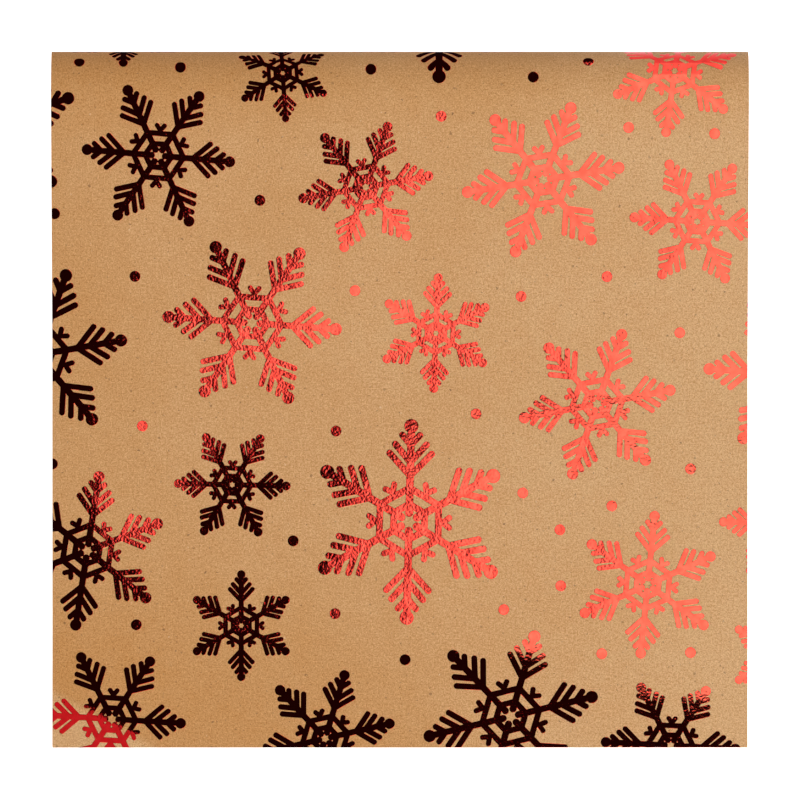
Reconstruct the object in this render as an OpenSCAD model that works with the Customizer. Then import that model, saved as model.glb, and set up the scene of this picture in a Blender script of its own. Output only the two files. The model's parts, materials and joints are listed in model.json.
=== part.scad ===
// A roll of printed kraft wrapping paper, partly drawn out. The roll lies on its side, the paper
// comes off its top, slopes down to the table and lies flat up to its cut end.
// Millimetres. +X runs along the roll, +Y towards the roll, +Z up. The origin is on the table,
// under the middle of the whole plan.

/* [Paper] */
// Width of the paper, along the roll
web_w = 300; // [200:5:700]
// Thickness of the paper
paper_t = 0.12; // [0.08:0.01:0.2]
// Length of paper that is still wound on the core
wound_l = 3000; // [500:100:6000]
// Plan length, from the back of the roll to the cut end
plan_l = 300; // [270:5:1000]
// Slope of the paper that comes down off the roll, in degrees
slope = 18; // [15:1:24]
// Radius of the bend at the foot of the slope
foot_r = 120; // [40:5:150]
// Angle between the end of the outer turn and the paper that leaves it, in degrees
nip = 20; // [15:1:40]

/* [Core] */
// Bore of the paperboard core
core_bore = 25; // [12:0.5:32]
// Thickness of one ply of the core
ply_t = 0.45; // [0.3:0.05:1]

/* [Start tape] */
// Width of the tape under the first turn, round the core
tape_w = 12; // [6:1:18]
// Length of the tape, along the core
tape_l = 180; // [40:10:190]
// Thickness of the tape
tape_t = 0.05; // [0.04:0.01:0.1]

/* [Foil print] */
// Thickness of the foil
foil_t = 0.03; // [0.02:0.01:0.06]
// Radius of a dot
dot_r = 2.4; // [1:0.1:5]
// Distance after which the print starts again
repeat = 372; // [372:1:800]

/* [Clearances] */
// Gap in radius between the wound paper and the outer turn that it runs in
turn_gap = 0.15; // [0.05:0.01:0.3]
// Gap at the glued faces of foil and tape
bond_gap = 0.01; // [0.01:0.005:0.02]

/* [Hidden] */
$fn = 180;

// Radii of the roll, from the bore outwards
bore_r = core_bore / 2;
ply_1_r = bore_r + ply_t;
ply_2_r = ply_1_r + ply_t;
core_r = ply_2_r + ply_t;
wound_r = sqrt(core_r * core_r + wound_l * paper_t / PI);
turn_r = wound_r + turn_gap;
roll_r = turn_r + paper_t;
foil_r = roll_r + bond_gap + foil_t;

// The roll's axis
axis_y = plan_l / 2 - roll_r;
axis_z = foil_r;

// Angle that the start tape covers on the core, and the margin of its place in the first turn
tape_sweep = tape_w / core_r * 180 / PI;
tape_margin = 0.5;
margin_sweep = tape_margin / core_r * 180 / PI;

// The slope, from the foot's bend up to where it leaves the outer turn
leave = 90 + slope;
slope_l = (axis_z + turn_r * cos(slope) - foot_r * (1 - cos(slope))) / sin(slope);
foot_y = axis_y - (turn_r + foot_r) * sin(slope) - slope_l * cos(slope);
cut_y = -plan_l / 2;

// Step of the foil over the roll, in degrees, and number of steps in the foot's bend
turn_step = 3;
foot_steps = 6;
// Where the foil starts on the back of the roll, in degrees above the axis
foil_from = 12;

// Snowflake in shares of its radius: stem, ball at the tip, barbs and hub
stem_w = 0.063;
ball_r = 0.067;
barb_w = 0.057;
hub_r = 0.36;
hub_hole_r = 0.2;
LONG_BARB = [0.447, 0.664, 0.204];
SHORT_BARB = [0.72, 0.843, 0.11];

// The print: each snowflake's centre, radius and turn in degrees
FLAKES = [
    [-119, 169, 26, 30], [-50, 141, 21, 34], [17, 178, 42, 30], [118, 141, 28, 22],
    [-177, 119, 39, 18], [-104, 105, 33, -5], [-15, 92, 29, 10], [62, 95, 35, 9],
    [128, 77, 29, -4], [-64, 34, 39, -4], [16, 29, 26, 28], [-157, 20, 39, 10],
    [85, -2, 34, 11], [167, 11, 36, -4], [-72, -37, 25, -1], [4, -53, 44, 29],
    [-135, -65, 35, 21], [164, -53, 26, -1], [-69, -97, 24, 30], [107, -80, 32, 24],
    [165, -110, 23, 30], [-124, -138, 32, -4], [-32, -146, 31, 13], [48, -137, 39, 14],
    [117, -149, 30, -3]
];
// The centre of each dot
DOTS = [
    [-138, 146], [-94, 143], [-13, 142], [57, 139], [81, 146], [18, 122], [98, 117], [135, 115],
    [-60, 86], [-149, 81], [-114, 54], [-19, 47], [89, 53], [52, 45], [121, 29], [-111, -11],
    [-28, -13], [33, -6], [-150, -28], [53, -40], [91, -46], [125, -30], [-46, -61], [69, -56],
    [69, -80], [-28, -92], [45, -91], [-114, -97], [2, -112], [87, -110], [125, -109]
];
// Rows and columns of the print that the sheet can reach
tiles_x = ceil(web_w / 2 / repeat - 0.5);
tiles_y = ceil(plan_l / 2 / repeat - 0.5);
above_all = 4 * foil_r;

// Points of the sheet's section, [y, z], at a height off above its underside
function turn_point(a, off) = [axis_y + (turn_r + off) * cos(a), axis_z + (turn_r + off) * sin(a)];
function foot_point(a, off) = [foot_y + (foot_r - off) * sin(a), foot_r - (foot_r - off) * cos(a)];
function over_roll(off) = [for (a = [foil_from : turn_step : leave - turn_step / 2]) turn_point(a, off)];
function down_slope(off) = concat(
    [turn_point(leave, off)],
    [for (i = [0 : foot_steps]) foot_point(slope * (1 - i / foot_steps), off)],
    [[cut_y, off]]
);
function backwards(list) = [for (i = [len(list) - 1 : -1 : 0]) list[i]];
function band(low, high) = concat(low, backwards(high));

// Points of a snowflake's outline, [along, side] of one arm
function barb(b) =
    let (a = atan2(b[2], b[1] - b[0]), side = stem_w / 2, half = barb_w / 2, foot = b[0] + side / tan(a))
    [
        [foot - half / sin(a), side],
        [b[1] - half * sin(a), b[2] + half * cos(a)],
        [b[1] + half * sin(a), b[2] - half * cos(a)],
        [foot + half / sin(a), side]
    ];
function arm_side() = concat(
    [[hub_r - stem_w / 2 * tan(30), stem_w / 2]],
    barb(LONG_BARB),
    barb(SHORT_BARB)
);
function ball() = [for (a = [-150 : 60 : 150]) [1 - ball_r + ball_r * cos(a), ball_r * sin(a)]];
function arm() = concat([for (p = arm_side()) [p[0], -p[1]]], ball(), backwards(arm_side()));
function turned(p, a, r) = [r * (p[0] * cos(a) - p[1] * sin(a)), r * (p[0] * sin(a) + p[1] * cos(a))];
function snowflake(r, a) = [for (k = [0 : 5]) for (p = arm()) turned(p, a + 60 * k, r)];

module along_roll(length) {
    translate([-length / 2, 0, 0])
        rotate([90, 0, 90])
            linear_extrude(height = length)
                children();
}

module ring(inner, outer, length, from, sweep) {
    translate([-length / 2, axis_y, axis_z])
        rotate([90, 0, 90])
            rotate([0, 0, from])
                rotate_extrude(angle = sweep)
                    translate([inner, 0])
                        square([outer - inner, length]);
}

module tube(inner, outer, length) {
    translate([-length / 2, axis_y, axis_z])
        rotate([0, 90, 0])
            difference() {
                cylinder(h = length, r = outer);
                translate([0, 0, -1])
                    cylinder(h = length + 2, r = inner);
            }
}

module core_inner_ply() {
    color("tan")
        tube(bore_r, ply_1_r, web_w);
}

module core_middle_ply() {
    color("rosybrown")
        tube(ply_1_r, ply_2_r, web_w);
}

module core_outer_ply() {
    color("tan")
        tube(ply_2_r, core_r, web_w);
}

module start_tape() {
    color("gainsboro")
        ring(core_r + bond_gap, core_r + bond_gap + tape_t, tape_l, 0, tape_sweep);
}

module wound_paper() {
    color("burlywood")
        difference() {
            tube(core_r, wound_r, web_w);
            ring(core_r - tape_t, core_r + tape_t + 2 * bond_gap, tape_l + 2 * tape_margin,
                 -margin_sweep, tape_sweep + 2 * margin_sweep);
        }
}

module outer_turn() {
    color("burlywood")
        ring(turn_r, roll_r, web_w, leave + nip, 360 - nip);
}

module lead_sheet() {
    color("burlywood")
        along_roll(web_w)
            polygon(band(down_slope(0), down_slope(paper_t)));
}

module printed_face() {
    low = paper_t + bond_gap;
    high = low + foil_t;
    along_roll(web_w)
        polygon(band(concat(over_roll(low), down_slope(low)), concat(over_roll(high), down_slope(high))));
}

module each_tile() {
    for (i = [-tiles_x : tiles_x], j = [-tiles_y : tiles_y])
        translate([i * repeat, j * repeat, 0])
            children();
}

module foil_snowflakes() {
    color("firebrick")
        intersection() {
            printed_face();
            each_tile()
                for (f = FLAKES)
                    translate([f[0], f[1], 0])
                        linear_extrude(height = above_all)
                            difference() {
                                polygon(snowflake(f[2], f[3]));
                                rotate(f[3])
                                    circle(r = hub_hole_r * f[2], $fn = 6);
                            }
        }
}

module foil_dots() {
    color("firebrick")
        intersection() {
            printed_face();
            each_tile()
                for (d = DOTS)
                    translate([d[0], d[1], 0])
                        cylinder(h = above_all, r = dot_r);
        }
}

core_inner_ply();
core_middle_ply();
core_outer_ply();
start_tape();
wound_paper();
outer_turn();
lead_sheet();
foil_snowflakes();
foil_dots();
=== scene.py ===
# A roll of kraft wrapping paper with red foil snowflakes. The roll lies on its side, and its end is
# drawn off the top, slopes down to the table and lies nearly flat up to the cut end.
import json
import math
import random

import bmesh
import bpy
import numpy as np
from mathutils import Matrix, Vector
from mathutils.geometry import delaunay_2d_cdt


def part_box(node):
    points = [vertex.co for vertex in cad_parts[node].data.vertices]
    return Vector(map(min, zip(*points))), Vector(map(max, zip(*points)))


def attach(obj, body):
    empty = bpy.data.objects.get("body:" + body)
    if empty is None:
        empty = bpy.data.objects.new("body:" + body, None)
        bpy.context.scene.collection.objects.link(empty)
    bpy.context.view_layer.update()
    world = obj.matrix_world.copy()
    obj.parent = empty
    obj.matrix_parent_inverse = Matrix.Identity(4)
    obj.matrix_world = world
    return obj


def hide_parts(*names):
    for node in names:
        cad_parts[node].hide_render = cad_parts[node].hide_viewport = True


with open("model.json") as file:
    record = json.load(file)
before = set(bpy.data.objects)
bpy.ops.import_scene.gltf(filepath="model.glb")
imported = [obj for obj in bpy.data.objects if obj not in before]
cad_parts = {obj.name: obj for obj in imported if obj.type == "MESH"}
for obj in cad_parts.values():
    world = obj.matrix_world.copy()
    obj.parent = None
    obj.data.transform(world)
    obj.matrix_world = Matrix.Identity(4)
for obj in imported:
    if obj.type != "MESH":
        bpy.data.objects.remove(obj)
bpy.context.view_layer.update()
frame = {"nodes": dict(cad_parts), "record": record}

MM = 0.001
record = frame["record"]

# The roll's axis and radii, and the sheet's ends, as the frame has them
turn_joint = next(j for j in record["behaviour"]["joints"] if j["name"] == "roll_turn")
bore = next(m for m in record["mounts"] if m["name"] == "core_bore")
AXIS_Y = turn_joint["pos_m"][1]
AXIS_Z = turn_joint["pos_m"][2]
BORE_R = bore["dims"]["r_mm"] * MM
FACE_R = AXIS_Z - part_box("outer_turn")[0][2]
WOUND_R = AXIS_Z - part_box("wound_paper")[0][2]
PLY_R = [AXIS_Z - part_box(n)[0][2] for n in ("core_inner_ply", "core_middle_ply", "core_outer_ply")]
HALF_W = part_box("lead_sheet")[1][0]
CUT_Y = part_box("lead_sheet")[0][1]

# The paper's course: its thickness, the slope down off the roll, the bend at its foot, and where the
# outer turn ends under the slope
PAPER_T = 0.12 * MM
SLOPE = math.radians(18)
FOOT_R = 120 * MM
NIP = math.radians(20)
LEAVE = math.pi / 2 + SLOPE
NIP_END = LEAVE + NIP - 2 * math.pi
UNDER_R = FACE_R - PAPER_T
SLOPE_L = (AXIS_Z + UNDER_R * math.cos(SLOPE) - FOOT_R * (1 - math.cos(SLOPE))) / math.sin(SLOPE)
FOOT_Y = AXIS_Y - (UNDER_R + FOOT_R) * math.sin(SLOPE) - SLOPE_L * math.cos(SLOPE)
FOOT_FACE_R = FOOT_R - PAPER_T
LEAVE_Y = AXIS_Y - FACE_R * math.sin(SLOPE)
# The print is laid out in plan up to this angle on the back of the roll, and along the paper from there
PLAN_UNTIL = math.radians(45)
PLAN_UNTIL_Y = AXIS_Y + FACE_R * math.cos(PLAN_UNTIL)
PRINT_END = PLAN_UNTIL_Y + (PLAN_UNTIL - NIP_END) * FACE_R

# Gentle humps of the drawn-out paper: x, y and height in millimetres, all with the same spread. Their
# heights, and the three slopes of the cut end's lift below, weren't chosen by hand: a separate fitting
# program worked them out, so that the foil mirrors the light panels in the right places.
HUMP_X = 27 * MM
HUMP_Y = 32 * MM
HUMPS = [
    (0, -165, 0.33), (36, -165, 0.26), (-180, -129, 0.21), (-144, -129, 0.26), (-144, -93, 0.12),
    (-108, -93, 0.33), (-36, -93, 0.1), (36, -93, 0.04), (108, -93, 0.22), (144, -93, 0.28),
    (-180, -57, 0.12), (-144, -57, 0.78), (-72, -57, 0.06), (-36, -57, 0.43), (36, -57, 0.29),
    (72, -57, 0.1), (108, -57, 0.62), (144, -57, 0.28), (-180, -21, 0.81), (-144, -21, 0.91),
    (-72, -21, 0.15), (0, -21, 0.3), (-180, 15, 0.29), (-144, 15, 0.84), (-108, 15, 0.81),
    (-72, 15, 0.36), (0, 15, 0.05), (36, 15, 0.26), (72, 15, 0.39), (108, 15, 0.68),
    (144, 15, 0.32), (-144, 51, 0.8), (-108, 51, 0.59), (-72, 51, 0.48), (-36, 51, 0.71),
    (108, 51, 0.06), (144, 51, 0.62), (180, 51, 0.03), (-144, 87, 0.37), (-72, 87, 0.12),
    (144, 87, 0.42), (180, 87, 0.03), (0, 123, 0.49), (36, 123, 0.4),
]
# The humps die out on the way up to the roll
CALM_FROM = 95 * MM
CALM_TO = 126 * MM
# The cut end lifts off the table from this line, which veers to the cut end on the right, and its left
# corner lifts a little more
LIFT_Y = -102 * MM
LIFT_SOFT = 5 * MM
LIFT_VEER = 0.2
LIFT_VEER_X = 22 * MM
LIFT_VEER_SOFT = 8 * MM
LIFT_SLOPE = 0.021
LIFT_SLOPE_RIGHT = 0.0225
LIFT_SLOPE_LEFT = 0.019
CORNER = (-150 * MM, -124 * MM)
CORNER_AWAY = (0.484, 0.875)
CORNER_SOFT = 1.4 * MM
CORNER_SLOPE = 0.085

# The print: each snowflake's centre, radius and turn, in millimetres and degrees
SNOWFLAKES = [
    (-119, 169.4, 25.9, 30), (-50.4, 140.5, 20.9, 33.6), (16.8, 178.4, 42.2, 30),
    (118.1, 141.4, 28.4, 22), (-177, 118.5, 38.8, 18), (-103.9, 105.2, 33.0, -4.9),
    (-14.7, 91.8, 29.3, 10), (61.6, 94.8, 35.3, 9), (128, 77.1, 29.1, -3.5),
    (-63.8, 33.6, 38.8, -4.5), (15.5, 28.9, 25.6, 27.7), (-156.5, 19.8, 39.4, 10),
    (85.1, -1.7, 34.3, 10.7), (166.8, 11.2, 35.8, -4), (-72.4, -36.6, 25, -1.3),
    (3.9, -52.6, 44.4, 28.6), (-134.9, -65.1, 34.7, 21.1), (163.8, -53, 25.9, -1),
    (-68.5, -97.4, 23.7, 30), (106.9, -79.7, 31.9, 24.2), (165.1, -109.9, 23.3, 30),
    (-124.3, -137.7, 31.9, -3.5), (-32.3, -146.1, 30.6, 13), (47.8, -136.6, 38.6, 13.5),
    (116.8, -149.1, 30, -3), (-66, 196, 27, 12), (95, 197, 29, 5), (146, 222, 25, 20),
    (-140, 222, 24, -8), (-18, 232, 15, 10),
]
DOTS = [
    (-137.9, 145.7), (-94.4, 143.1), (-12.5, 142.2), (57.3, 138.8), (81, 146.1), (17.7, 122),
    (98.3, 117.2), (135.3, 114.6), (-60.3, 86.2), (-148.7, 80.6), (-114.2, 53.9), (-19.4, 47.4),
    (89.2, 53.4), (52.2, 44.8), (120.7, 29.3), (-111.2, -11.2), (-27.6, -13.4), (32.8, -6),
    (-150, -27.6), (53, -40.1), (91.4, -45.7), (125.4, -29.7), (-46.1, -60.8), (69, -56),
    (69.4, -80.2), (-28, -92.2), (44.8, -90.5), (-113.8, -97), (2.2, -112.1), (87.1, -109.5),
    (125.4, -109), (-86, 162), (-30, 205), (62, 171), (126, 186), (46, 214), (-104, 208),
    (-146, 190), (24, 227), (-84, 226), (112, 226),
]
DOT_R = 2.4
DOT_SIDES = 28

# A snowflake in shares of its radius. A stroke is its start along the arm and to the side, its end along
# the arm and to the side, and its width. A ball or a ring is its place along the arm and its size.
STEM = (0.17, 0, 0.95, 0, 0.0735)
BARBS = [
    (0.447, 0, 0.664, 0.204, 0.0645),
    (0.58, 0, 0.753, 0.152, 0.0645),
    (0.746, 0, 0.843, 0.085, 0.0645),
]
BALL = (0.932, 0.069)
OUTER_RING = (0.33, 0.066)
INNER_RING = (0.173, 0.066)
LOBE = (0.173, 0, 0.088, 0, 0.078)
BUD_STEM = (0.286, 0, 0.335, 0, 0.058)
BUD_LOBE = (0.327, 0, 0.389, 0.048, 0.058)
CAP_SIDES = 12
BALL_SIDES = 24

FOIL_ABOVE = 0.03 * MM
FOIL_BELOW = 0.02 * MM
# The foil's outline is pressed down to the paper over this width, and turns away at the edge by this much
RIM = 0.14 * MM
RIM_LOW = 0.9 * FOIL_ABOVE
RIM_TURN = math.tan(math.radians(20))


# ---------------------------------------------------------------- the paper's course

def soft_ramp(distance, softness):
    """Rises by its distance past the line, with a soft start, and its slope."""
    q = np.clip(distance / softness, -40, 40)
    return softness * np.log1p(np.exp(q)), 1 / (1 + np.exp(-q))


def sheet_relief(x, y):
    """How far the drawn-out paper stands off its plain course, and its slopes along x and y."""
    t = np.clip((CALM_TO - y) / (CALM_TO - CALM_FROM), 0, 1)
    calm = t * t * (3 - 2 * t)
    calm_y = -(6 * t - 6 * t * t) / (CALM_TO - CALM_FROM)
    up = np.zeros_like(x)
    up_x = np.zeros_like(x)
    up_y = np.zeros_like(x)
    for hx, hy, height in HUMPS:
        dx = (x - hx * MM) / HUMP_X
        dy = (y - hy * MM) / HUMP_Y
        hump = height * MM * np.exp(-0.5 * (dx * dx + dy * dy))
        up += hump * calm
        up_x -= hump * dx / HUMP_X * calm
        up_y += hump * calm_y - hump * dy / HUMP_Y * calm
    veer, veer_d = soft_ramp(x - LIFT_VEER_X, LIFT_VEER_SOFT)
    lift, lift_d = soft_ramp(LIFT_Y - LIFT_VEER * veer - y, LIFT_SOFT)
    share = LIFT_SLOPE + LIFT_SLOPE_RIGHT * (1 + x / HALF_W) + LIFT_SLOPE_LEFT * (1 - x / HALF_W)
    up += lift * share
    up_x += lift * (LIFT_SLOPE_RIGHT - LIFT_SLOPE_LEFT) / HALF_W - lift_d * share * LIFT_VEER * veer_d
    up_y -= lift_d * share
    past = -((x - CORNER[0]) * CORNER_AWAY[0] + (y - CORNER[1]) * CORNER_AWAY[1])
    corner, corner_d = soft_ramp(past, CORNER_SOFT)
    up += corner * CORNER_SLOPE
    up_x -= corner_d * CORNER_SLOPE * CORNER_AWAY[0]
    up_y -= corner_d * CORNER_SLOPE * CORNER_AWAY[1]
    return up, up_x, up_y


def paper_course(along):
    """The printed face in the section across the roll: its y and z, and its normal's y and z."""
    tilt = np.arcsin(np.clip((along - FOOT_Y) / FOOT_FACE_R, 0, math.sin(SLOPE)))
    foot_end_y = FOOT_Y + FOOT_FACE_R * math.sin(SLOPE)
    up_slope = np.clip(along - foot_end_y, 0, LEAVE_Y - foot_end_y)
    y = along.copy()
    z = PAPER_T + FOOT_FACE_R * (1 - np.cos(tilt)) + up_slope * math.tan(SLOPE)
    ny = -np.sin(tilt)
    nz = np.cos(tilt)
    on_roll = along > LEAVE_Y
    over_top = np.arccos(np.clip((along - AXIS_Y) / FACE_R, -1, math.cos(PLAN_UNTIL)))
    round_back = PLAN_UNTIL - (along - PLAN_UNTIL_Y) / FACE_R
    angle = np.where(along > PLAN_UNTIL_Y, round_back, over_top)
    y = np.where(on_roll, AXIS_Y + FACE_R * np.cos(angle), y)
    z = np.where(on_roll, AXIS_Z + FACE_R * np.sin(angle), z)
    ny = np.where(on_roll, np.cos(angle), ny)
    nz = np.where(on_roll, np.sin(angle), nz)
    return y, z, ny, nz


def on_paper(points):
    """Places points of the flat print, [x, along, height], on the paper, with the normal there."""
    x = points[:, 0]
    along = points[:, 1]
    height = points[:, 2]
    y, z, ny, nz = paper_course(along)
    up, up_x, up_y = sheet_relief(x, along)
    off = height + up
    placed = np.column_stack([x, y + ny * off, z + nz * off])
    slope_y = up_y * np.abs(nz)
    normal = np.column_stack([-up_x, ny - slope_y * nz, nz + slope_y * ny])
    normal /= np.linalg.norm(normal, axis=1)[:, None]
    return placed, normal


# ---------------------------------------------------------------- helpers for the pieces

def points_of(mesh):
    flat = np.empty(len(mesh.vertices) * 3)
    mesh.vertices.foreach_get("co", flat)
    return flat.reshape(-1, 3)


def put_points(mesh, points):
    mesh.vertices.foreach_set("co", np.ascontiguousarray(points).ravel())
    mesh.update()


def finished(bm, name, material, body):
    """Makes a bmesh a piece in the scene that rides on a body."""
    mesh = bpy.data.meshes.new(name)
    bm.to_mesh(mesh)
    bm.free()
    piece = bpy.data.objects.new(name, mesh)
    bpy.context.scene.collection.objects.link(piece)
    mesh.materials.append(material)
    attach(piece, body)
    return piece


def thicken(bm, thickness):
    """Gives a flat bmesh its thickness, downwards from its own level, as a closed solid."""
    top = bm.faces[:]
    made = bmesh.ops.extrude_face_region(bm, geom=top, use_keep_orig=True)
    lowered = [v for v in made["geom"] if isinstance(v, bmesh.types.BMVert)]
    bmesh.ops.translate(bm, vec=(0, 0, -thickness), verts=lowered)
    bmesh.ops.recalc_face_normals(bm, faces=bm.faces[:])


def ruled_grid(columns, rows, thickness):
    """A closed slab over the given columns and rows, with its top at height 0."""
    bm = bmesh.new()
    bmesh.ops.create_grid(bm, x_segments=len(columns) - 1, y_segments=len(rows) - 1, size=1)
    for v in bm.verts:
        i = round((v.co.x + 1) / 2 * (len(columns) - 1))
        j = round((v.co.y + 1) / 2 * (len(rows) - 1))
        v.co = (columns[i], rows[j], 0)
    thicken(bm, thickness)
    return bm


def web_map(mesh, web):
    """A UV map that holds each point's place on the flat web, in metres."""
    uv = mesh.uv_layers.new(name="web")
    corner = np.empty(len(mesh.loops), dtype=np.int32)
    mesh.loops.foreach_get("vertex_index", corner)
    uv.data.foreach_set("uv", np.ascontiguousarray(web[corner][:, :2]).ravel())


def round_to_the_light(mesh):
    mesh.shade_smooth()
    mesh.set_sharp_from_angle(angle=math.radians(40))


def steps(start, end, step):
    count = max(1, math.ceil(abs(end - start) / step))
    return [start + (end - start) * i / count for i in range(count + 1)]


# ---------------------------------------------------------------- finishes

class Finish:
    """A material or a node group that is being wired."""

    def __init__(self, tree):
        self.tree = tree

    def node(self, kind, inputs=None, **settings):
        made = self.tree.nodes.new(kind)
        for key, value in settings.items():
            setattr(made, key, value)
        for key, value in (inputs or {}).items():
            self.feed(made.inputs[key], value)
        return made

    def feed(self, socket, value):
        if isinstance(value, bpy.types.NodeSocket):
            self.tree.links.new(value, socket)
        else:
            socket.default_value = value

    def math(self, operation, a, b=0.0, clamp=False):
        return self.node("ShaderNodeMath", {0: a, 1: b}, operation=operation, use_clamp=clamp).outputs[0]

    def ramp(self, value, low, high, to_low=0.0, to_high=1.0, smooth=True):
        kind = "SMOOTHSTEP" if smooth else "LINEAR"
        made = self.node(
            "ShaderNodeMapRange",
            {"Value": value, "From Min": low, "From Max": high, "To Min": to_low, "To Max": to_high},
            interpolation_type=kind,
        )
        return made.outputs["Result"]

    def noise(self, vector, scale, detail=2.0, roughness=0.5, dimensions="3D"):
        inputs = {"Vector": vector, "Scale": scale, "Detail": detail, "Roughness": roughness}
        return self.node("ShaderNodeTexNoise", inputs, noise_dimensions=dimensions).outputs["Fac"]

    def mix(self, factor, a, b, blend="MIX"):
        made = self.node("ShaderNodeMix", data_type="RGBA", blend_type=blend)
        self.feed(made.inputs["Factor"], factor)
        self.feed(made.inputs[6], a)
        self.feed(made.inputs[7], b)
        return made.outputs[2]


def new_material(name):
    made = bpy.data.materials.new(name)
    made.use_nodes = True
    made.node_tree.nodes.clear()
    finish = Finish(made.node_tree)
    shader = finish.node("ShaderNodeBsdfPrincipled")
    out = finish.node("ShaderNodeOutputMaterial")
    finish.feed(out.inputs["Surface"], shader.outputs["BSDF"])
    return made, finish, shader


def pulp_group():
    """Fibres and flecks of unbleached pulp, on a web laid out flat in metres."""
    group = bpy.data.node_groups.new("Pulp", "ShaderNodeTree")
    sockets = group.interface
    sockets.new_socket("Web", in_out="INPUT", socket_type="NodeSocketVector")
    sockets.new_socket("Tone", in_out="OUTPUT", socket_type="NodeSocketFloat")
    sockets.new_socket("Clouds", in_out="OUTPUT", socket_type="NodeSocketFloat")
    sockets.new_socket("Dark flecks", in_out="OUTPUT", socket_type="NodeSocketFloat")
    sockets.new_socket("Pale flecks", in_out="OUTPUT", socket_type="NodeSocketFloat")
    sockets.new_socket("Height", in_out="OUTPUT", socket_type="NodeSocketFloat")
    f = Finish(group)
    web = f.node("NodeGroupInput").outputs["Web"]
    out = f.node("NodeGroupOutput")

    grain = f.noise(web, 1900, 1.0, 0.6, "2D")
    specks = f.noise(web, 950, 1.0, 0.5, "2D")

    def fibres(turn, length, width):
        laid = f.node("ShaderNodeMapping", {"Vector": web, "Rotation": (0, 0, math.radians(turn)),
                                            "Scale": (1 / length, 1 / width, 1)})
        return f.noise(laid.outputs["Vector"], 1.0, 1.0, 0.5, "2D")

    one_way = fibres(12, 5.5 * MM, 0.75 * MM)
    other_way = fibres(-38, 4 * MM, 0.7 * MM)
    across = fibres(68, 3.5 * MM, 0.7 * MM)
    matted = f.math("ADD", f.math("MULTIPLY", one_way, 0.45), f.math("MULTIPLY", other_way, 0.3))
    matted = f.math("ADD", matted, f.math("MULTIPLY", across, 0.25))
    tone = f.math("ADD", f.math("MULTIPLY", grain, 0.5), f.math("MULTIPLY", specks, 0.3))
    tone = f.math("ADD", tone, f.math("MULTIPLY", matted, 0.2))
    clouds = f.math("ADD", f.math("MULTIPLY", f.noise(web, 16, 2.0, 0.5, "2D"), 0.6),
                    f.math("MULTIPLY", f.noise(web, 130, 2.0, 0.5, "2D"), 0.4))

    def flecks(cells, size_low, size_high, share, shift):
        moved = f.node("ShaderNodeMapping", {"Vector": web, "Location": (shift, shift * 0.7, 0)})
        wobble = f.node("ShaderNodeTexNoise", {"Vector": moved.outputs["Vector"], "Scale": 900.0,
                                               "Detail": 1.0}, noise_dimensions="2D")
        bent = f.node("ShaderNodeVectorMath", {0: wobble.outputs["Color"], 1: (0.0011, 0.0011, 0)},
                      operation="MULTIPLY")
        moved_bent = f.node("ShaderNodeVectorMath", {0: moved.outputs["Vector"], 1: bent.outputs[0]},
                            operation="ADD")
        cell = f.node("ShaderNodeTexVoronoi", {"Vector": moved_bent.outputs[0], "Scale": cells},
                      voronoi_dimensions="2D")
        draw = f.node("ShaderNodeSeparateColor", {"Color": cell.outputs["Color"]})
        size = f.ramp(draw.outputs["Green"], 0, 1, size_low * cells, size_high * cells, False)
        near = f.math("SUBTRACT", size, cell.outputs["Distance"])
        edge = f.ramp(near, 0, 0.15 * MM * cells)
        chosen = f.math("LESS_THAN", draw.outputs["Red"], share)
        depth = f.ramp(draw.outputs["Blue"], 0, 1, 0.35, 1.0, False)
        return f.math("MULTIPLY", f.math("MULTIPLY", edge, chosen), depth)

    dark = f.math("MAXIMUM", flecks(95, 0.3 * MM, 0.62 * MM, 0.42, 0.0),
                  flecks(290, 0.18 * MM, 0.36 * MM, 0.6, 3.0))
    pale = flecks(120, 0.22 * MM, 0.45 * MM, 0.16, 7.0)
    height = f.math("ADD", tone, f.math("MULTIPLY", dark, -0.25))
    f.feed(out.inputs["Tone"], tone)
    f.feed(out.inputs["Clouds"], clouds)
    f.feed(out.inputs["Dark flecks"], dark)
    f.feed(out.inputs["Pale flecks"], pale)
    f.feed(out.inputs["Height"], height)
    return group


PULP = pulp_group()


def pulp_on(finish):
    web = finish.node("ShaderNodeUVMap", uv_map="web").outputs["UV"]
    made = finish.node("ShaderNodeGroup", node_tree=PULP)
    finish.feed(made.inputs["Web"], web)
    return web, made


# Kraft from its deepest to its palest, how the grain shades it, how much painted shade deepens it at the cut
# end and over the roll, and how much painted light pales it on the lifted corner
KRAFT_TONES = [(0.540, 0.243, 0.071, 1), (0.570, 0.282, 0.102, 1), (0.612, 0.324, 0.135, 1),
               (0.642, 0.365, 0.168, 1)]
GRAIN_DARK = (0.72, 0.57, 0.32, 1)
GRAIN_PALE = (1.28, 1.43, 1.68, 1)
PAINTED_SHADE_AT_ENDS = 0.34
PAINTED_LIGHT_ON_CORNER = 0.72


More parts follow.
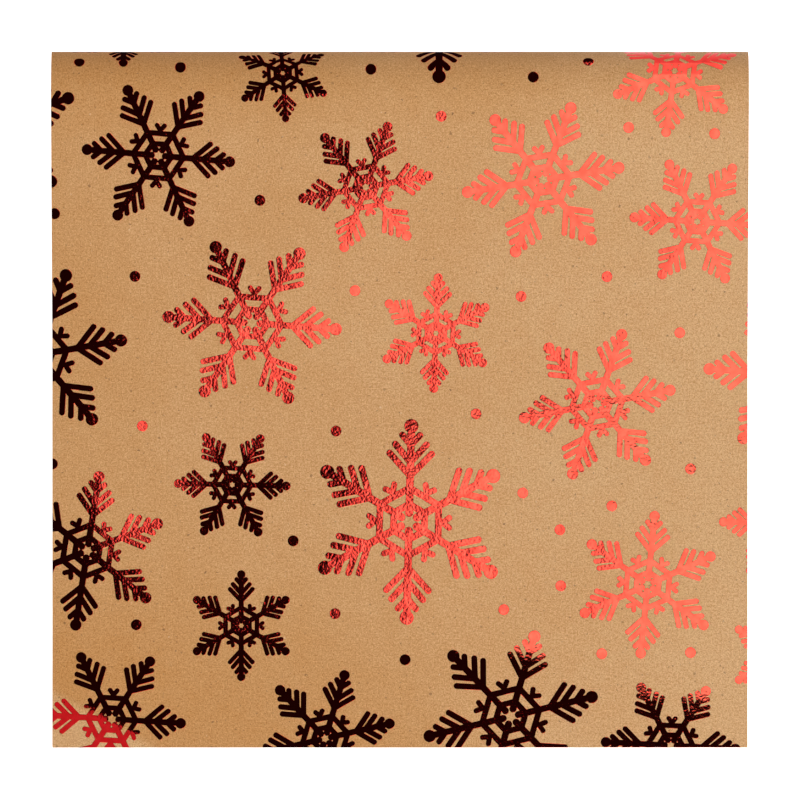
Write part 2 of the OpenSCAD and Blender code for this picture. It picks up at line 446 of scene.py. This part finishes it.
def kraft_paper():
    """Unbleached kraft: warm brown with random clouds, painted lighter towards the right (painted light and
    sheen), with painted shade at the cut end and over the roll and painted light on the lifted corner.
    """
    made, f, shader = new_material("Natural kraft paper")
    web, pulp = pulp_on(f)
    place = f.node("ShaderNodeSeparateXYZ", {"Vector": web})
    # Lighter towards the right: painted light and sheen from the side the key light comes from.
    tone_and_painted_light = f.ramp(place.outputs["X"], -0.15, 0.15, 0.42, 1.0, False)
    tone_and_painted_light = f.math("ADD", tone_and_painted_light, f.ramp(pulp.outputs["Clouds"], 0.3, 0.7, -0.16, 0.16, False))
    # Darker at the left of the cut end and over the roll: painted shade where the paper tilts away from the
    # light.
    painted_shade_to_cut = f.math("MULTIPLY", f.ramp(place.outputs["Y"], -0.06, -0.125),
                    f.ramp(place.outputs["X"], 0.11, -0.05))
    painted_shade_to_roll = f.ramp(place.outputs["Y"], 0.105, 0.14)
    tone_and_painted_light = f.math("SUBTRACT", tone_and_painted_light, f.math("MULTIPLY", painted_shade_to_cut, PAINTED_SHADE_AT_ENDS))
    from_corner = f.node("ShaderNodeVectorMath", {0: web, 1: (*CORNER, 0)}, operation="SUBTRACT")
    past_corner = f.node("ShaderNodeVectorMath", {0: from_corner.outputs["Vector"], 1: (*CORNER_AWAY, 0)},
                         operation="DOT_PRODUCT")
    # Paler on the lifted corner: painted light, as the tipped-up corner catches more light.
    tone_and_painted_light = f.math("ADD", tone_and_painted_light, f.ramp(past_corner.outputs["Value"], 1 * MM, -4 * MM, 0, PAINTED_LIGHT_ON_CORNER))
    tone_and_painted_light = f.math("SUBTRACT", tone_and_painted_light, f.math("MULTIPLY", painted_shade_to_roll, PAINTED_SHADE_AT_ENDS), True)
    stops = f.node("ShaderNodeValToRGB", {"Fac": tone_and_painted_light})
    bar = stops.color_ramp
    bar.elements[0].position = 0.0
    bar.elements[0].color = KRAFT_TONES[0]
    bar.elements[1].position = 1.0
    bar.elements[1].color = KRAFT_TONES[3]
    for at, colour in ((0.4, KRAFT_TONES[1]), (0.7, KRAFT_TONES[2])):
        bar.elements.new(at).color = colour
    brown = stops.outputs["Color"]
    shade = f.mix(f.ramp(pulp.outputs["Tone"], 0.25, 0.75, 0, 1, False), GRAIN_DARK, GRAIN_PALE)
    brown = f.mix(1.0, brown, shade, "MULTIPLY")
    brown = f.mix(f.math("MULTIPLY", pulp.outputs["Dark flecks"], 0.72), brown, (0.16, 0.065, 0.022, 1))
    brown = f.mix(f.math("MULTIPLY", pulp.outputs["Pale flecks"], 0.45), brown, (0.86, 0.7, 0.5, 1))
    f.feed(shader.inputs["Base Color"], brown)
    rough = f.ramp(pulp.outputs["Tone"], 0.3, 0.7, 0.74, 0.62, False)
    f.feed(shader.inputs["Roughness"], rough)
    shader.inputs["Specular IOR Level"].default_value = 0.3
    bump = f.node("ShaderNodeBump", {"Height": pulp.outputs["Height"], "Strength": 0.6,
                                     "Distance": 0.05 * MM})
    f.feed(shader.inputs["Normal"], bump.outputs["Normal"])
    return made


def red_foil():
    """Hot-stamped mirror foil: deep red, with the paper's fine crinkle pressed into it."""
    made, f, shader = new_material("Red stamped foil")
    where = f.node("ShaderNodeTexCoord").outputs["Object"]
    fine = f.noise(where, 950, 1.5, 0.5)
    broad = f.noise(where, 110, 1.0, 0.5)
    shader.inputs["Metallic"].default_value = 1.0
    patchy = f.noise(where, 330, 2.0, 0.6)
    red = f.mix(f.ramp(patchy, 0.32, 0.68), (0.84, 0.036, 0.030, 1), (0.94, 0.051, 0.043, 1))
    f.feed(shader.inputs["Base Color"], red)
    f.feed(shader.inputs["Roughness"], f.ramp(fine, 0.3, 0.7, 0.025, 0.04, False))
    height = f.math("ADD", f.math("MULTIPLY", fine, 0.021), f.math("MULTIPLY", broad, 0.05))
    bump = f.node("ShaderNodeBump", {"Height": height, "Strength": 1.0, "Distance": MM})
    f.feed(shader.inputs["Normal"], bump.outputs["Normal"])
    return made


def core_board():
    """Grey-brown paperboard of a spiral-wound core."""
    made, f, shader = new_material("Core board")
    _, pulp = pulp_on(f)
    board = f.mix(f.ramp(pulp.outputs["Clouds"], 0.35, 0.65), (0.36, 0.26, 0.165, 1), (0.45, 0.335, 0.22, 1))
    shade = f.ramp(pulp.outputs["Tone"], 0.3, 0.7, 0.82, 1.12, False)
    board = f.mix(1.0, board, f.node("ShaderNodeCombineColor", {"Red": shade, "Green": shade,
                                                              "Blue": shade}).outputs["Color"], "MULTIPLY")
    board = f.mix(f.math("MULTIPLY", pulp.outputs["Dark flecks"], 0.5), board, (0.12, 0.08, 0.05, 1))
    f.feed(shader.inputs["Base Color"], board)
    f.feed(shader.inputs["Roughness"], f.ramp(pulp.outputs["Tone"], 0.3, 0.7, 0.9, 0.78, False))
    bump = f.node("ShaderNodeBump", {"Height": pulp.outputs["Height"], "Strength": 0.8,
                                     "Distance": 0.08 * MM})
    f.feed(shader.inputs["Normal"], bump.outputs["Normal"])
    return made


def clear_tape():
    """Satin tape film with faint streaks along it."""
    made, f, shader = new_material("Satin tape")
    where = f.node("ShaderNodeTexCoord").outputs["Object"]
    laid = f.node("ShaderNodeMapping", {"Vector": where, "Scale": (40, 1600, 1600)})
    streaks = f.noise(laid.outputs["Vector"], 1.0, 2.0, 0.5)
    film = f.mix(f.ramp(streaks, 0.35, 0.65), (0.76, 0.73, 0.64, 1), (0.84, 0.82, 0.75, 1))
    f.feed(shader.inputs["Base Color"], film)
    f.feed(shader.inputs["Roughness"], f.ramp(streaks, 0.35, 0.65, 0.3, 0.42, False))
    bump = f.node("ShaderNodeBump", {"Height": streaks, "Strength": 0.3, "Distance": 0.01 * MM})
    f.feed(shader.inputs["Normal"], bump.outputs["Normal"])
    return made


KRAFT = kraft_paper()
FOIL = red_foil()
BOARD = core_board()
TAPE = clear_tape()


# ---------------------------------------------------------------- the drawn-out paper

def row_lines():
    """Where the sheet has a row of points, from the cut end to the nip under the slope."""
    flat = steps(CUT_Y, LEAVE_Y, 3 * MM)
    plan = [AXIS_Y + FACE_R * math.cos(a) for a in steps(LEAVE, PLAN_UNTIL, math.radians(3))]
    back = [PLAN_UNTIL_Y + (PLAN_UNTIL - a) * FACE_R for a in steps(PLAN_UNTIL, NIP_END, math.radians(3))]
    return flat + plan[1:] + back[1:]


def web_length(rows):
    y, z, _, _ = paper_course(np.array(rows))
    return float(np.hypot(np.diff(y), np.diff(z)).sum())


ROWS = row_lines()
COLUMNS = steps(-HALF_W, HALF_W, 3 * MM)


def drawn_out_paper():
    bm = ruled_grid(COLUMNS, ROWS, PAPER_T)
    piece = finished(bm, "kraft_sheet", KRAFT, "sheet")
    flat = points_of(piece.data)
    web_map(piece.data, flat)
    placed, _ = on_paper(flat)
    put_points(piece.data, placed)
    round_to_the_light(piece.data)
    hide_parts("outer_turn", "lead_sheet")
    return piece


sheet_piece = drawn_out_paper()


# ---------------------------------------------------------------- the paper still on the roll

# The wound web is drawn a hair thinner than its pitch, so that its turns don't touch, and its first turn
# clears the start tape. Each turn's edges are set back by an uneven bit, up to this much.
WEB_T = 0.115 * MM
TAPE_CLEAR = 0.07 * MM
UNEVEN = 0.32 * MM


def wound_web():
    """The rest of the web, wound tight from the nip inwards to the core."""
    turns = (WOUND_R - PLY_R[2] - TAPE_CLEAR - WEB_T) / PAPER_T
    per_turn = 72
    rows = [i / per_turn for i in range(int(turns * per_turn))]
    draw = random.Random(31)
    left = [draw.uniform(0, UNEVEN) for _ in range(int(turns) + 3)]
    right = [draw.uniform(0, UNEVEN) for _ in range(int(turns) + 3)]
    inset = 1.5 * MM
    columns = [-HALF_W, -HALF_W + inset, HALF_W - inset, HALF_W]
    bm = ruled_grid(columns, rows, WEB_T)
    piece = finished(bm, "wound_web", KRAFT, "roll")
    flat = points_of(piece.data)
    turn = flat[:, 1]
    whole = np.floor(turn).astype(int)
    part = turn - whole
    part = part * part * (3 - 2 * part)
    for side, uneven in ((-1, left), (1, right)):
        uneven = np.array(uneven)
        back = uneven[whole] * (1 - part) + uneven[whole + 1] * part
        edge = np.abs(flat[:, 0] - side * HALF_W) < 0.1 * MM
        flat[:, 0] -= np.where(edge, side * back, 0)
    radius = WOUND_R - PAPER_T * turn
    angle = NIP_END - turn * 2 * math.pi
    run = 2 * math.pi * (WOUND_R * turn - PAPER_T * turn * turn / 2)
    web_map(piece.data, np.column_stack([flat[:, 0], run]))
    at = radius + flat[:, 2]
    placed = np.column_stack([flat[:, 0], AXIS_Y + at * np.cos(angle), AXIS_Z + at * np.sin(angle)])
    put_points(piece.data, placed)
    round_to_the_light(piece.data)
    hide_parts("wound_paper")
    length = float(run.max())
    return piece, length


wound_piece, wound_length = wound_web()


# ---------------------------------------------------------------- the core

# The hair's gap between two plies
PLY_GAP = 0.01 * MM


def core_ply(node, name, inner, outer, start):
    """One strip of board wound in a helix, its edges butted with a hair's gap."""
    pitch = 64 * MM
    gap = 0.35 * MM
    step = math.radians(5)
    begin = -HALF_W - pitch + start
    count = math.ceil((2 * HALF_W + pitch - start) / pitch * 2 * math.pi / step) + 1
    rows = [i * step for i in range(count)]
    rows = [a for a in rows
            if min(HALF_W, begin + pitch * (1 + a / (2 * math.pi)) - gap)
            - max(-HALF_W, begin + pitch * a / (2 * math.pi)) > 0.2 * MM]
    columns = steps(0, 1, 0.125)
    bm = ruled_grid(columns, rows, outer - inner)
    piece = finished(bm, name, BOARD, "roll")
    flat = points_of(piece.data)
    low = np.maximum(-HALF_W, begin + pitch * flat[:, 1] / (2 * math.pi))
    high = np.minimum(HALF_W, begin + pitch * (1 + flat[:, 1] / (2 * math.pi)) - gap)
    x = low + (high - low) * flat[:, 0]
    at = outer + flat[:, 2]
    web_map(piece.data, np.column_stack([x, flat[:, 1] * outer]))
    angle = flat[:, 1]
    put_points(piece.data, np.column_stack([x, AXIS_Y + at * np.cos(angle), AXIS_Z + at * np.sin(angle)]))
    bm = bmesh.new()
    bm.from_mesh(piece.data)
    bmesh.ops.recalc_face_normals(bm, faces=bm.faces[:])
    bm.to_mesh(piece.data)
    bm.free()
    round_to_the_light(piece.data)
    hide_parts(node)
    return piece


core_ply("core_inner_ply", "core_ply_inner", BORE_R, PLY_R[0] - PLY_GAP, 0)
core_ply("core_middle_ply", "core_ply_middle", PLY_R[0], PLY_R[1] - PLY_GAP, 21 * MM)
core_ply("core_outer_ply", "core_ply_outer", PLY_R[1], PLY_R[2], 42 * MM)

tape_node = frame["nodes"]["start_tape"]
tape_node.data.materials.clear()
tape_node.data.materials.append(TAPE)


# ---------------------------------------------------------------- the foil print

def add_stroke(bm, stroke, turn, wider):
    """A round-ended stroke: a circle whose one half is moved along."""
    along_a, side_a, along_b, side_b, width = stroke
    start = Vector((along_a, side_a, 0))
    end = Vector((along_b, side_b, 0))
    way = end - start
    heading = math.atan2(way.y, way.x)
    place = Matrix.Rotation(turn, 4, "Z") @ Matrix.Translation(start) @ Matrix.Rotation(heading, 4, "Z")
    offset = math.pi / CAP_SIDES
    half = width / 2 * wider / math.cos(offset)
    made = bmesh.ops.create_circle(bm, cap_ends=True, segments=CAP_SIDES, radius=half,
                                   matrix=Matrix.Rotation(offset, 4, "Z"))
    front = [v for v in made["verts"] if v.co.x > 0]
    bmesh.ops.translate(bm, vec=(way.length, 0, 0), verts=front)
    bmesh.ops.transform(bm, matrix=place, verts=made["verts"])


def mirrored(stroke):
    return (stroke[0], -stroke[1], stroke[2], -stroke[3], stroke[4])


def merged_outline(bm):
    """One flat skin over all the strokes, without their overlaps."""
    spots = []
    faces = []
    for face in bm.faces:
        faces.append(list(range(len(spots), len(spots) + len(face.verts))))
        spots += [v.co.to_2d() for v in face.verts]
    verts, _, triangles, _, _, covers = delaunay_2d_cdt(spots, [], faces, 1, 1e-5, True)
    out = bmesh.new()
    made = [out.verts.new((v.x, v.y, 0)) for v in verts]
    for triangle, owners in zip(triangles, covers):
        if owners:
            out.faces.new([made[i] for i in triangle])
    loose = [v for v in out.verts if not v.link_faces]
    bmesh.ops.delete(out, geom=loose, context="VERTS")
    bmesh.ops.remove_doubles(out, verts=out.verts[:], dist=0.0015)
    return out


def snowflake_form(wider):
    """A snowflake of radius 1 lying flat, as a mesh."""
    bm = bmesh.new()
    sixth = math.pi / 3
    for arm in range(6):
        turn = arm * sixth
        add_stroke(bm, STEM, turn, wider)
        for barb in BARBS:
            add_stroke(bm, barb, turn, wider)
            add_stroke(bm, mirrored(barb), turn, wider)
        add_stroke(bm, LOBE, turn, wider)
        for radius, width in (OUTER_RING, INNER_RING):
            side = (radius, 0, radius * math.cos(sixth), radius * math.sin(sixth), width)
            add_stroke(bm, side, turn, wider)
        between = turn + sixth / 2
        add_stroke(bm, BUD_STEM, between, wider)
        add_stroke(bm, BUD_LOBE, between, wider)
        add_stroke(bm, mirrored(BUD_LOBE), between, wider)
        ball_at = Matrix.Rotation(turn, 4, "Z") @ Matrix.Translation((BALL[0], 0, 0))
        bmesh.ops.create_circle(bm, cap_ends=True, segments=BALL_SIDES, radius=BALL[1] * math.sqrt(wider),
                                matrix=ball_at)
    form = merged_outline(bm)
    bm.free()
    mesh = bpy.data.meshes.new("snowflake form")
    form.to_mesh(mesh)
    form.free()
    return mesh


def cut_along(bm, axis, at, keep=0):
    """Cuts a flat bmesh on a line, and drops what lies beyond it where keep says which side stays."""
    normal = Vector((1, 0, 0)) if axis == 0 else Vector((0, 1, 0))
    bmesh.ops.bisect_plane(bm, geom=bm.verts[:] + bm.edges[:] + bm.faces[:], dist=1e-7,
                           plane_co=normal * at, plane_no=normal, clear_outer=keep < 0, clear_inner=keep > 0)


def laid_print(bm):
    """Trims a shape to the sheet, and scores it wherever the paper's own mesh bends."""
    cut_along(bm, 0, HALF_W, -1)
    cut_along(bm, 0, -HALF_W, 1)
    cut_along(bm, 1, CUT_Y, 1)
    cut_along(bm, 1, PRINT_END, -1)
    if not bm.verts:
        return
    for axis, lines in ((0, COLUMNS[::2]), (1, ROWS)):
        low = min(v.co[axis] for v in bm.verts)
        high = max(v.co[axis] for v in bm.verts)
        for line in lines:
            if low + 1e-6 < line < high - 1e-6:
                cut_along(bm, axis, line)


def press_rim(bm):
    """Lowers a narrow rim along the outline, notes on its points which way they face, and keeps it on the
    paper where the paper's edge cuts through a stroke."""
    bmesh.ops.inset_region(bm, faces=bm.faces[:], thickness=RIM, use_boundary=True, use_even_offset=True)
    outward = bm.verts.layers.float_vector.new("outward")
    for v in bm.verts:
        inner = [e.other_vert(v) for e in v.link_edges if not e.is_boundary]
        if v.is_boundary and inner:
            nearest = min(inner, key=lambda w: (w.co - v.co).length)
            v[outward] = (v.co - nearest.co).normalized()
            v.co.z -= RIM_LOW
    for v in bm.verts:
        v.co.x = min(max(v.co.x, -HALF_W), HALF_W)
        v.co.y = max(v.co.y, CUT_Y)


def foil_piece(bm, name, nodes):
    """Presses the flat foil into the paper: a thin closed skin that follows it."""
    bmesh.ops.translate(bm, vec=(0, 0, FOIL_ABOVE), verts=bm.verts[:])
    press_rim(bm)
    thicken(bm, FOIL_ABOVE + FOIL_BELOW)
    piece = finished(bm, name, FOIL, "sheet")
    mesh = piece.data
    flat = points_of(mesh)
    outward = np.empty(len(mesh.vertices) * 3)
    mesh.attributes["outward"].data.foreach_get("vector", outward)
    outward = outward.reshape(-1, 3)
    mesh.attributes.remove(mesh.attributes["outward"])
    placed, normal = on_paper(flat)
    put_points(mesh, placed)
    mesh.shade_smooth()
    aside = np.column_stack([outward[:, 0], outward[:, 1] * normal[:, 2], -outward[:, 1] * normal[:, 1]])
    normal += aside * RIM_TURN
    normal /= np.linalg.norm(normal, axis=1)[:, None]
    normal[flat[:, 2] < 0] *= -1
    mesh.normals_split_custom_set_from_vertices([tuple(n) for n in normal])
    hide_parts(*nodes)
    return piece


def gathered_print(shapes):
    """All shapes of one piece of foil, in one flat bmesh."""
    whole = bmesh.new()
    for form, x, y, radius, turn in shapes:
        bm = bmesh.new()
        bm.from_mesh(form)
        place = Matrix.Translation((x * MM, y * MM, 0)) @ Matrix.Rotation(math.radians(turn), 4, "Z")
        bmesh.ops.transform(bm, matrix=place @ Matrix.Scale(radius * MM, 4), verts=bm.verts[:])
        laid_print(bm)
        carrier = bpy.data.meshes.new("one shape")
        bm.to_mesh(carrier)
        bm.free()
        whole.from_mesh(carrier)
        bpy.data.meshes.remove(carrier)
    return whole


def dot_form():
    bm = bmesh.new()
    bmesh.ops.create_circle(bm, cap_ends=True, segments=DOT_SIDES, radius=1)
    mesh = bpy.data.meshes.new("dot form")
    bm.to_mesh(mesh)
    bm.free()
    return mesh


# Small snowflakes are stamped with bolder strokes: from and up to which radius, and how much bolder
SIZES = [
    ("foil_flakes_small", 0, 26.5, 1.31),
    ("foil_flakes_middle", 26.5, 31.5, 1.21),
    ("foil_flakes_large", 31.5, 37, 1.12),
    ("foil_flakes_largest", 37, 60, 1.04),
]
for piece_name, low, high, bolder in SIZES:
    form = snowflake_form(bolder)
    chosen = [(form, x, y, r, a) for x, y, r, a in SNOWFLAKES if low <= r < high]
    foil_piece(gathered_print(chosen), piece_name, ["foil_snowflakes"])
    bpy.data.meshes.remove(form)
round_form = dot_form()
dots = [(round_form, x, y, DOT_R, 0) for x, y in DOTS]
foil_piece(gathered_print(dots), "foil_dots_print", ["foil_dots"])
bpy.data.meshes.remove(round_form)

web_length(ROWS)


# ---------------------------------------------------------------- studio

# Height and right end of the overhead panels, and the left, near and far ends of the bright ones
PANEL_Z = 2.5
PANEL_LEFT = -0.034
PANEL_RIGHT = 0.75
PANEL_NEAR = -2.4
PANEL_FAR = 0.020
# The main light fades in over these bands at its left and far edges
MAIN_EDGE_X = (PANEL_LEFT, 0.024)
MAIN_EDGE_Y = (PANEL_FAR, -0.020)
# A panel goes from its left light to its right light over this distance, from the middle on
FOIL_REACH = 0.06
MATT_REACH = 0.2
# What the foil mirrors at the left and at the right
LEFT_LIGHT = (1.35, 1.6, 1.6)
RIGHT_LIGHT = (1.6, 4.2, 3.0)
# The low panels behind the roll: left, right and far ends, and height
ROLL_LEFT = 0.0914
ROLL_RIGHT = 0.2
ROLL_FAR = 0.9
ROLL_Z = 0.6
# The white room: the even fill of matt surfaces, the bright belt and the dark overhead in the foil, and
# the dim patch overhead with its hue
FILL = 0.42
BELT = 1.0
DARK = 0.01
DIM = 0.6
DIM_HUE = (1, 0.42, 0.62, 1)


def grey(level):
    return (level, level, level)


def stage_panel(name, corners, left_light, right_light, for_foil=True, soft=False):
    """A soft light panel, out of the camera's sight, that goes from its left light to its right light.

    The foil mirrors some of the panels, and the others light the matt surfaces.
    """
    bm = bmesh.new()
    bmesh.ops.create_grid(bm, x_segments=1, y_segments=1, size=0.5)
    for v, corner in zip(sorted(bm.verts, key=lambda v: (v.co.y, v.co.x)), corners):
        v.co = corner
    mesh = bpy.data.meshes.new(name)
    bm.to_mesh(mesh)
    bm.free()
    panel = bpy.data.objects.new(name, mesh)
    bpy.context.scene.collection.objects.link(panel)
    light = bpy.data.materials.new(name)
    light.use_nodes = True
    light.node_tree.nodes.clear()
    f = Finish(light.node_tree)
    across = f.node("ShaderNodeSeparateXYZ", {"Vector": f.node("ShaderNodeTexCoord").outputs["Object"]})
    reach = f.ramp(across.outputs["X"], 0, FOIL_REACH if for_foil else MATT_REACH, 0, 1, False)
    light_here = f.mix(reach, (*left_light, 1), (*right_light, 1))
    glow = f.node("ShaderNodeEmission", {"Color": light_here})
    if soft:
        edges = f.math("MULTIPLY", f.ramp(across.outputs["X"], *MAIN_EDGE_X),
                       f.ramp(across.outputs["Y"], *MAIN_EDGE_Y))
        f.feed(glow.inputs["Strength"], edges)
    f.feed(f.node("ShaderNodeOutputMaterial").inputs["Surface"], glow.outputs["Emission"])
    mesh.materials.append(light)
    panel.visible_camera = False
    panel.visible_shadow = False
    panel.visible_glossy = for_foil
    panel.visible_diffuse = not for_foil


def level_panel(name, x0, x1, y0, y1, z, left_light, right_light, for_foil=True, soft=False):
    corners = [(x0, y0, z), (x1, y0, z), (x0, y1, z), (x1, y1, z)]
    stage_panel(name, corners, left_light, right_light, for_foil, soft)


# The key and fill lights are for the matt surfaces, and the main light is for the foil
level_panel("key light", PANEL_LEFT, PANEL_RIGHT, PANEL_NEAR, PANEL_FAR, PANEL_Z, grey(3.3), grey(8.5),
            for_foil=False)
level_panel("main light", PANEL_LEFT, PANEL_RIGHT, PANEL_NEAR, PANEL_FAR, PANEL_Z, LEFT_LIGHT, RIGHT_LIGHT,
            soft=True)
level_panel("fill light", -1.2, PANEL_RIGHT, 0.6, 2.4, PANEL_Z, grey(1.3), grey(1.9), for_foil=False)
# Low panels behind the roll, which its crest and its back mirror
level_panel("roll light", ROLL_LEFT, ROLL_RIGHT, 0.09, ROLL_FAR, ROLL_Z, LEFT_LIGHT, RIGHT_LIGHT)
low_corners = [(0.09, ROLL_FAR, 0.0), (ROLL_RIGHT, ROLL_FAR, 0.0), (ROLL_LEFT, ROLL_FAR, ROLL_Z),
               (ROLL_RIGHT, ROLL_FAR, ROLL_Z)]
stage_panel("roll light low", low_corners, grey(1.0), (1.2, 2.2, 1.8))
level_panel("table behind roll", 0.087, ROLL_RIGHT, 0.1505, ROLL_FAR, 0.5 * MM, grey(0.8), grey(0.9))


# The floor's reach either way, how far it lies below the paper, and how bright the camera sees it glow
FLOOR_REACH = 15
FLOOR_BELOW = 0.2 * MM
FLOOR_GLOW = 0.95


def pale_floor():
    bm = bmesh.new()
    bmesh.ops.create_grid(bm, x_segments=1, y_segments=1, size=FLOOR_REACH)
    bmesh.ops.translate(bm, vec=(0, 0, -FLOOR_BELOW), verts=bm.verts[:])
    mesh = bpy.data.meshes.new("floor")
    bm.to_mesh(mesh)
    bm.free()
    floor = bpy.data.objects.new("floor", mesh)
    bpy.context.scene.collection.objects.link(floor)
    made, f, shader = new_material("Pale floor")
    shader.inputs["Base Color"].default_value = (0.9, 0.9, 0.9, 1)
    shader.inputs["Roughness"].default_value = 0.9
    shader.inputs["Specular IOR Level"].default_value = 0.0
    shader.inputs["Emission Color"].default_value = (1, 1, 1, 1)
    seen = f.node("ShaderNodeLightPath").outputs["Is Camera Ray"]
    f.feed(shader.inputs["Emission Strength"], f.math("MULTIPLY", seen, FLOOR_GLOW))
    mesh.materials.append(made)
    floor.visible_glossy = False


pale_floor()


def studio_world():
    """A white room: even fill for matt surfaces, and for the foil a bright belt and a dark overhead."""
    world = bpy.data.worlds.new("studio")
    bpy.context.scene.world = world
    world.use_nodes = True
    world.node_tree.nodes.clear()
    f = Finish(world.node_tree)
    way = f.node("ShaderNodeSeparateXYZ", {"Vector": f.node("ShaderNodeTexCoord").outputs["Generated"]})
    belt = f.ramp(way.outputs["Z"], 0.35, 0.6, BELT, DARK)
    aside = f.ramp(f.math("ABSOLUTE", way.outputs["X"]), 0.1, 0.2)
    ahead = f.ramp(way.outputs["Y"], 0.3, 0.1)
    below = f.math("MULTIPLY", f.ramp(way.outputs["Z"], -0.75, -0.85),
                   f.ramp(f.math("ABSOLUTE", way.outputs["X"]), 0.05, 0.1))
    open_belt = f.math("MAXIMUM", f.math("MAXIMUM", aside, ahead), below)
    mirrored_light = f.math("MAXIMUM", f.math("MULTIPLY", belt, open_belt), DARK)
    # A dim patch overhead that only the lifted corner mirrors
    dim_x = f.math("MULTIPLY", f.ramp(way.outputs["X"], 0.028, 0.042), f.ramp(way.outputs["X"], 0.13, 0.11))
    dim_y = f.math("MULTIPLY", f.ramp(way.outputs["Y"], 0.13, 0.17), f.ramp(way.outputs["Y"], 0.36, 0.32))
    dim = f.math("MULTIPLY", f.math("MULTIPLY", dim_x, dim_y), f.ramp(way.outputs["Z"], 0.8, 0.85))
    mirrored_light = f.math("MAXIMUM", mirrored_light, f.math("MULTIPLY", dim, DIM))
    ray = f.node("ShaderNodeLightPath")
    room = f.node("ShaderNodeMix", {"Factor": ray.outputs["Is Glossy Ray"], 2: FILL, 3: mirrored_light},
                  data_type="FLOAT").outputs[0]
    seen = f.node("ShaderNodeMix", {"Factor": ray.outputs["Is Camera Ray"], 2: room, 3: 1.0},
                  data_type="FLOAT").outputs[0]
    hue = f.mix(dim, (1, 1, 1, 1), DIM_HUE)
    glow = f.node("ShaderNodeBackground", {"Color": hue, "Strength": seen})
    f.feed(f.node("ShaderNodeOutputWorld").inputs["Surface"], glow.outputs["Background"])


studio_world()

# The camera looks straight down, from far enough that the roll hardly looms, and the sheet fills this
# share of the view's width
CAMERA_HIGH = 8.0
SHEET_SHARE = 0.86875
VIEW_W = 2 * HALF_W / SHEET_SHARE
camera_data = bpy.data.cameras.new("camera")
camera_data.sensor_width = 36
camera_data.lens = camera_data.sensor_width * CAMERA_HIGH / VIEW_W
camera_data.clip_start = 0.1
camera_data.clip_end = 100
camera = bpy.data.objects.new("camera", camera_data)
bpy.context.scene.collection.objects.link(camera)
camera.location = (0, 0, CAMERA_HIGH)
bpy.context.scene.camera = camera
bpy.context.scene.view_settings.view_transform = "Standard"
